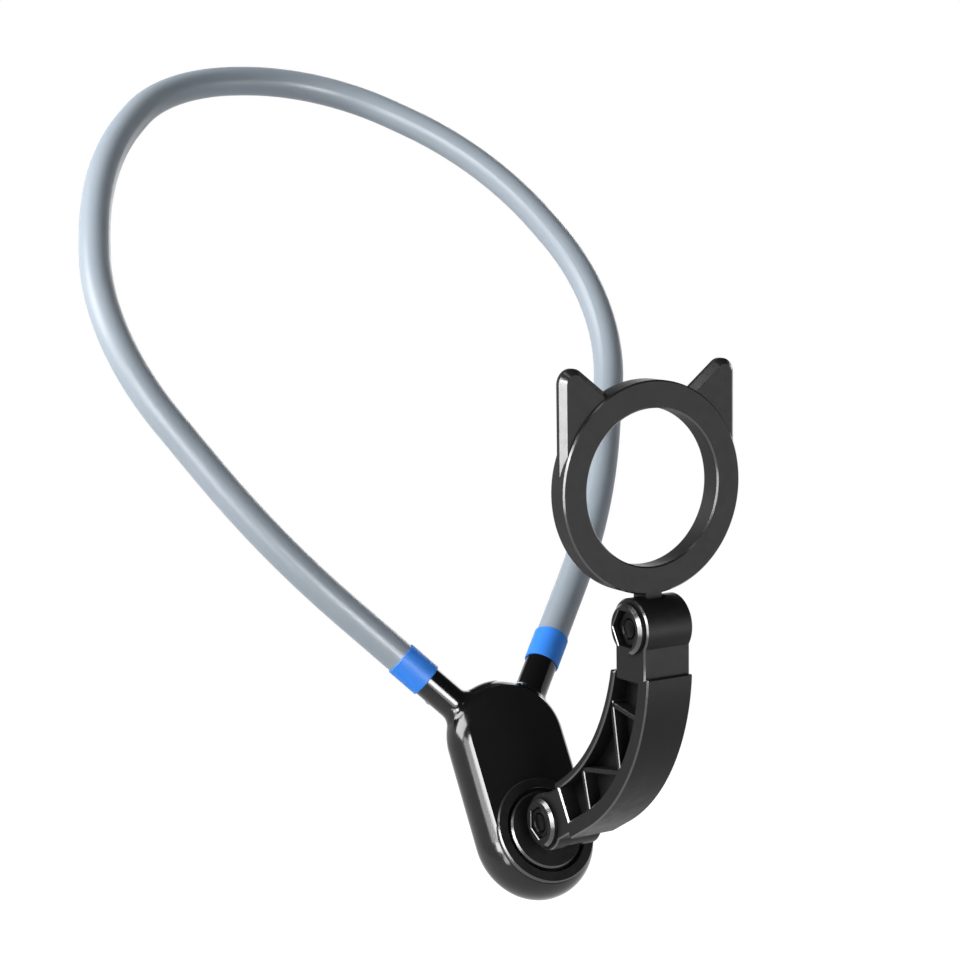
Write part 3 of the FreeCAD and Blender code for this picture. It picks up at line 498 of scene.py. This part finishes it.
def nut(points, centre):
    """A hexagon nut with turned corners and a countersunk hole, where the plain CAD nut is."""
    side = -SIDEWAYS
    low, high = span(points, side)
    spokes = [(point - centre) - side * (point - centre).dot(side) for point in points]
    hole = min(spoke.length for spoke in spokes)
    corner = max(spokes, key=lambda spoke: spoke.length)
    inscribed = corner.length * math.cos(math.pi / 6)
    across = corner.normalized()
    outline = hexagon_reach(inscribed)
    flat = inscribed * NUT_CHAMFER
    shape = bmesh.new()
    half = (high - low) / 2
    ends = rod(shape, inscribed, half, -half)
    for face, way in zip(ends, (1, -1)):
        for vert in face.verts:
            radius = outline(spoke_angle(vert))
            height = half - (radius - flat) * NUT_SLOPE
            move_on_spoke(vert, radius, way * height)
        for radius, height in ((flat, half), (hole + HOLE_BREAK, half), (hole, half - HOLE_BREAK)):
            bmesh.ops.inset_region(shape, faces=[face], thickness=HAIR)
            for vert in face.verts:
                move_on_spoke(vert, radius, way * height)
    rims = [edge for face in ends for edge in face.edges]
    bmesh.ops.delete(shape, geom=ends, context="FACES_ONLY")
    bmesh.ops.bridge_loops(shape, edges=rims)
    bmesh.ops.recalc_face_normals(shape, faces=shape.faces)
    turn = Matrix((across, side.cross(across), side)).transposed().to_4x4()
    middle = centre - side * centre.dot(side) + side * (low + high) / 2
    shape.transform(Matrix.Translation(middle) @ turn)
    return shape


hinges = {"lower": "arm_swing", "upper": "head_tilt"}
for end, joint in hinges.items():
    centre = Vector(joints[joint]["pos_m"])
    stand_for(bolt(separate_solids(f"{end}_bolt")[0]), f"{end}_socket_bolt", f"{end}_bolt", dark_screw)
    stand_for(nut(separate_solids(f"{end}_nut")[0], centre), f"{end}_hex_nut", f"{end}_nut", dark_screw)
    dress(nylon, f"{end}_washers")

# Head: a ring with two ears in dark matte plastic, moulded with a tongue for the upper hinge. In its
# back lie a steel ring, sixteen magnets, their cover and a soft grip pad.
HEAD_SHADES = ((0.013, 0.0126, 0.013), (0.017, 0.0166, 0.017))
HEAD_EDGE = 0.0002
TONGUE_HIGH = 0.0083
FORWARD = Vector((0, -1, 0))
NICKEL_SHADES = ((0.66, 0.64, 0.60), (0.6, 0.58, 0.55))
PAD_SHADES = ((0.03, 0.03, 0.031), (0.04, 0.04, 0.041))
head_black = moulded(
    "head_black", HEAD_SHADES, roughness=(0.48, 0.56), grain=5000.0, depth=6e-6, specular=0.13)
nickel = metal("nickel", NICKEL_SHADES, roughness=(0.12, 0.2), grain=2000.0, depth=2e-6)
soft_pad = moulded("soft_pad", PAD_SHADES, roughness=(0.6, 0.75), grain=4000.0, depth=1.5e-5)
ring_bottom = joints["head_tilt"]["pos_m"][2] + TONGUE_HIGH


def on_head_tongue(place):
    """True where a place lies below the ring."""
    return place.z < ring_bottom


shape = copy_of("head_shell")
break_edges(shape, HEAD_EDGE)
# The ring's and ears' bevels take the lighter edge finish, a painted highlight.
paint_bevel_highlights(shape, FORWARD, on_head_tongue)
stand_for(shape, "eared_ring", "head_shell", head_black, edge_black_painted_highlight)
dress(head_black, "magnet_cover")
dress(plain_steel, "shunt_ring")
dress(nickel, "magnets")
dress(soft_pad, "face_pad")

# Floor: a round white cove, flat under the object and curved up to a wall all round it. It is white to
# the eye and in reflections, keeps a faint shadow under the object, and gives back little other light.
FLOOR_DROP = 0.3
COVE_RADIUS = 6.0
COVE_HEIGHT = 2.1
COVE_BEND = 1.2
COVE_STEPS = 96
COVE_BEND_STEPS = 16
COVE_WHITE = (0.22, 0.22, 0.22)
COVE_ROUGHNESS = 0.8
SHADE_START = 0.5
SHADE_END = 1.6
GLOW_NEAR = 0.95
SHADE_NEAR = 0.3
floor_height = cad_box[0][2] - FLOOR_DROP
shape = bmesh.new()
bmesh.ops.create_cone(
    shape, cap_ends=True, segments=COVE_STEPS, radius1=COVE_RADIUS, radius2=COVE_RADIUS, depth=COVE_HEIGHT,
    matrix=Matrix.Translation((0, 0, floor_height + COVE_HEIGHT / 2)),
)
bmesh.ops.delete(shape, geom=[highest_face(shape)], context="FACES_ONLY")
ground = min(shape.faces, key=lambda face: face.calc_center_median().z)
round_rim(shape, ground, COVE_BEND, COVE_BEND_STEPS)
bmesh.ops.reverse_faces(shape, faces=shape.faces)
floor_mesh = bpy.data.meshes.new("floor")
shape.to_mesh(floor_mesh)
shape.free()
floor_mesh.shade_smooth()
floor = bpy.data.objects.new("floor", floor_mesh)
bpy.context.scene.collection.objects.link(floor)
floor_finish, tree_nodes, links, shader = new_finish("cove_white")
shader.inputs["Base Color"].default_value = (*COVE_WHITE, 1)
shader.inputs["Roughness"].default_value = COVE_ROUGHNESS
place = tree_nodes.new("ShaderNodeTexCoord")
flat_place = tree_nodes.new("ShaderNodeVectorMath")
flat_place.operation = "MULTIPLY"
flat_place.inputs[1].default_value = (1, 1, 0)
links.new(place.outputs["Object"], flat_place.inputs[0])
distance = tree_nodes.new("ShaderNodeVectorMath")
distance.operation = "LENGTH"
links.new(flat_place.outputs["Vector"], distance.inputs[0])


def fade(near, far):
    """A number that goes from near the object to the far floor."""
    ramp = tree_nodes.new("ShaderNodeMapRange")
    ramp.interpolation_type = "SMOOTHSTEP"
    ramp.inputs["From Min"].default_value = SHADE_START
    ramp.inputs["From Max"].default_value = SHADE_END
    ramp.inputs["To Min"].default_value = near
    ramp.inputs["To Max"].default_value = far
    links.new(distance.outputs["Value"], ramp.inputs["Value"])
    return ramp.outputs["Result"]


glow = tree_nodes.new("ShaderNodeEmission")
links.new(fade(GLOW_NEAR, 1.0), glow.inputs["Strength"])
shaded = tree_nodes.new("ShaderNodeBsdfDiffuse")
links.new(fade(SHADE_NEAR, 0.0), shaded.inputs["Color"])
seen_white = tree_nodes.new("ShaderNodeAddShader")
links.new(glow.outputs["Emission"], seen_white.inputs[0])
links.new(shaded.outputs["BSDF"], seen_white.inputs[1])
path = tree_nodes.new("ShaderNodeLightPath")
mirrored = tree_nodes.new("ShaderNodeMath")
mirrored.operation = "MAXIMUM"
links.new(path.outputs["Is Glossy Ray"], mirrored.inputs[0])
links.new(path.outputs["Is Transmission Ray"], mirrored.inputs[1])
seen = tree_nodes.new("ShaderNodeMath")
seen.operation = "MAXIMUM"
links.new(path.outputs["Is Camera Ray"], seen.inputs[0])
links.new(mirrored.outputs["Value"], seen.inputs[1])
choice = tree_nodes.new("ShaderNodeMixShader")
links.new(seen.outputs["Value"], choice.inputs["Fac"])
links.new(shader.outputs["BSDF"], choice.inputs[1])
links.new(seen_white.outputs["Shader"], choice.inputs[2])
links.new(choice.outputs["Shader"], tree_nodes["Material Output"].inputs["Surface"])
floor_mesh.materials.append(floor_finish)

# Studio: a dim grey room above the cove, and softboxes. The one at the left rear is the main light, and
# two more fill. The others show in reflections only: they draw the bright lines along the edges, on top of
# the edges' painted highlight, and along the rim and the stubs, and a soft sheen on the front of ring and
# arm.
ROOM_SHADE = (0.05, 0.051, 0.054)
LIT_POINT = Vector((0, -0.16, -0.13))
world = bpy.data.worlds.new("studio")
world.use_nodes = True
bpy.context.scene.world = world
room = world.node_tree.nodes["Background"]
room.inputs["Color"].default_value = (*ROOM_SHADE, 1)
room.inputs["Strength"].default_value = 1.0


def softbox(name, direction, distance, width, height, brightness, fills=True):
    """A rectangular softbox that faces the object; one that does not fill shows in reflections only."""
    lamp = bpy.data.lights.new(name, "AREA")
    lamp.shape = "RECTANGLE"
    lamp.size = width
    lamp.size_y = height
    lamp.energy = brightness * math.pi * width * height
    place = bpy.data.objects.new(name, lamp)
    away = Vector(direction).normalized()
    place.location = LIT_POINT + away * distance
    place.rotation_euler = away.to_track_quat("Z", "Y").to_euler()
    place.visible_camera = False
    place.visible_diffuse = fills
    bpy.context.scene.collection.objects.link(place)


softbox("main_light", (-0.80, 0.30, 0.52), 1.4, 0.8, 0.8, 17.5)
softbox("front_fill", (-0.35, -0.93, 0.10), 1.4, 0.7, 0.7, 5.5)
softbox("right_fill", (0.70, 0.65, 0.30), 1.6, 0.9, 0.9, 3.0)
softbox("left_strip", (-0.80, -0.58, 0.08), 1.2, 0.2, 0.97, 12.0, False)
softbox("left_upper", (-0.80, -0.42, 0.41), 1.3, 0.4, 0.4, 28.0, False)
softbox("left_wide", (-0.95, -0.15, 0.27), 1.3, 0.4, 0.4, 9.0, False)
softbox("left_low", (-0.90, -0.39, 0.10), 1.2, 0.3, 0.3, 26.0, False)
softbox("front_box", (-0.16, -0.98, 0.12), 1.0, 0.4, 0.45, 30.0, False)
softbox("front_top", (-0.20, -0.47, 0.86), 1.2, 0.2, 0.2, 2.5, False)
softbox("right_low", (0.56, -0.80, -0.22), 1.2, 0.6, 0.6, 7.0, False)

# Camera: a long lens where the photograph was taken from, in front of the ring, higher and to its left.
# The picture leans by less than a degree, so the camera is rolled by as much.
CAMERA_POINT = Vector((-0.3574, -0.7264, -0.0222))
CAMERA_HEADING = math.radians(31.51)
CAMERA_DROP = math.radians(8.02)
CAMERA_ROLL = math.radians(-0.85)
LENS = 89.3
SENSOR = 36.0
forward = Vector((
    math.sin(CAMERA_HEADING) * math.cos(CAMERA_DROP),
    math.cos(CAMERA_HEADING) * math.cos(CAMERA_DROP),
    -math.sin(CAMERA_DROP),
))
level = Vector((math.cos(CAMERA_HEADING), -math.sin(CAMERA_HEADING), 0))
over = level.cross(forward)
across = level * math.cos(CAMERA_ROLL) + over * math.sin(CAMERA_ROLL)
over = across.cross(forward)
camera_data = bpy.data.cameras.new("camera")
camera_data.sensor_width = SENSOR
camera_data.lens = LENS
camera = bpy.data.objects.new("camera", camera_data)
bpy.context.scene.collection.objects.link(camera)
turn = Matrix((across, over, -forward)).transposed().to_4x4()
camera.matrix_world = Matrix.Translation(CAMERA_POINT) @ turn
bpy.context.scene.camera = camera
bpy.context.scene.view_settings.view_transform = "Standard"
